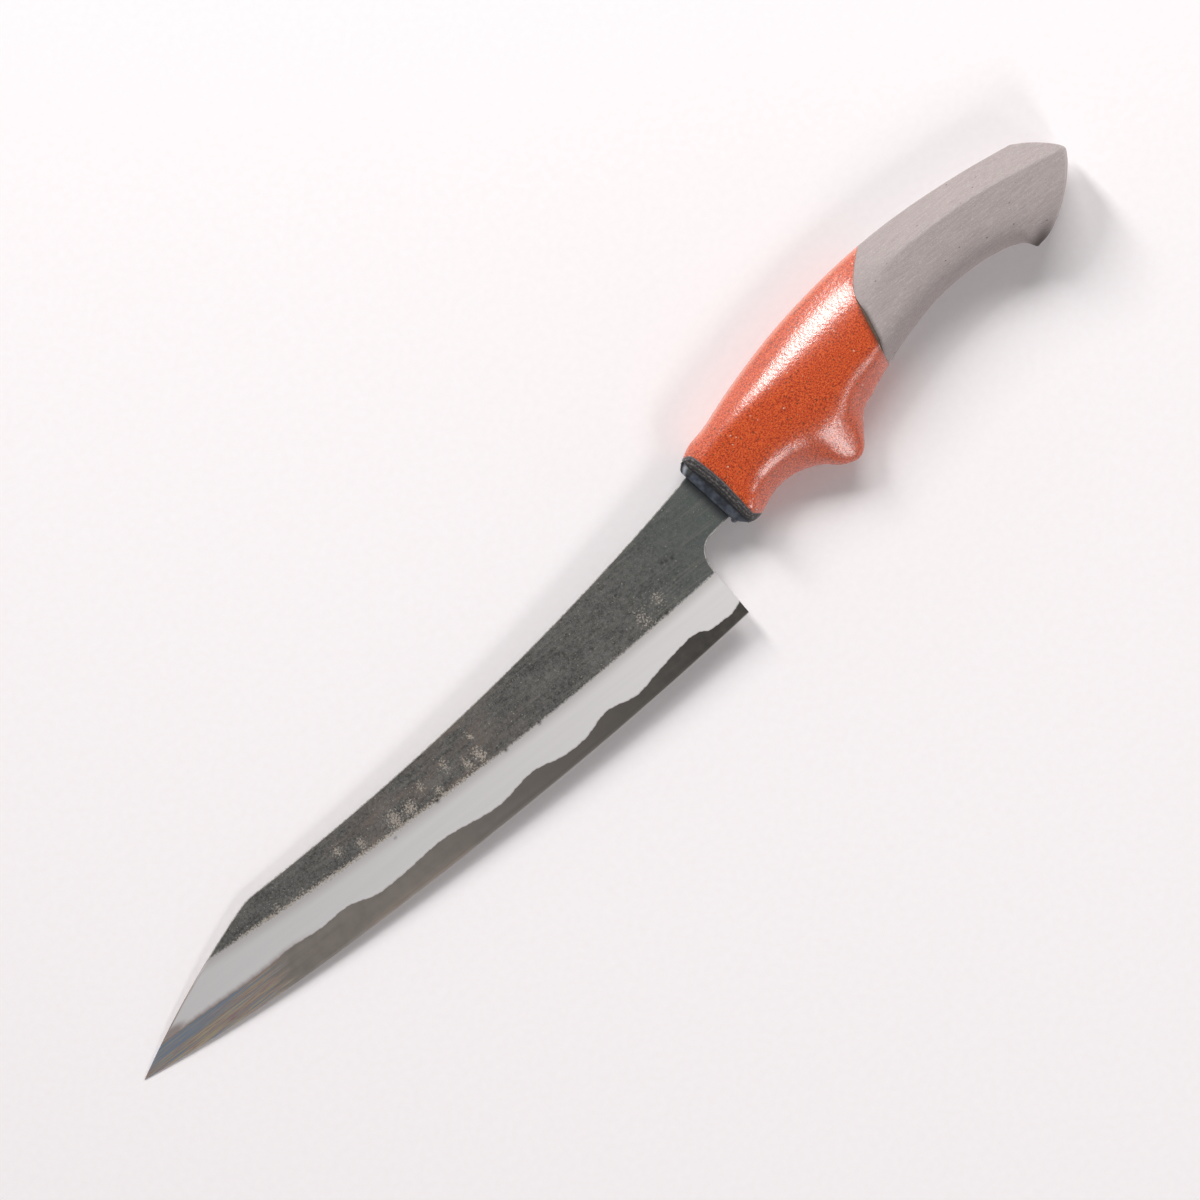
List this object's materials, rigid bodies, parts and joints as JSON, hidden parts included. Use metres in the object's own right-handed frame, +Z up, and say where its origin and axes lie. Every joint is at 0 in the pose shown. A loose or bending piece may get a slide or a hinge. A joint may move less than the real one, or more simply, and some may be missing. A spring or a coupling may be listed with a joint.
{
  "type": "sujihiki knife",
  "caption": "Japanese slicing knife with a slanted tip, a laminated forge-scaled blade and a sculpted two-part handle with a finger notch, for long clean cuts.",
  "frame": {"origin": "middle of the footprint of the bounding box, on the surface the knife lies on", "axes": "+X along the knife from the tip to the butt, +Y from the cutting edge to the spine, +Z up out of the left face; the knife lies on its right side"},
  "size_m": [0.3556, 0.0664, 0.0205],
  "materials": {
    "core_steel": "hazy stone polish, patinated",
    "clad_iron": "dark forge scale on the flats, satin on the bevels",
    "black_resin": "smooth black resin",
    "black_lacquer": "rough black lacquer on wood",
    "red_lacquer": "semi-gloss vermilion lacquer with a fine dark speckle, on wood",
    "dark_glue": "matte dark brown glue line",
    "grey_wood": "bare matte grey wood",
    "hardwood": "plain turned hardwood"
  },
  "bodies": {
    "root": {"blade_core": "core_steel", "cladding_left": "clad_iron", "cladding_right": "clad_iron", "neck_plug": "black_resin", "front_collar": "black_lacquer", "front_grip": "red_lacquer", "joint_seam": "dark_glue", "rear_grip": "grey_wood", "tang_dowel": "hardwood", "tang_bedding": "black_resin"}
  },
  "joints": []
}
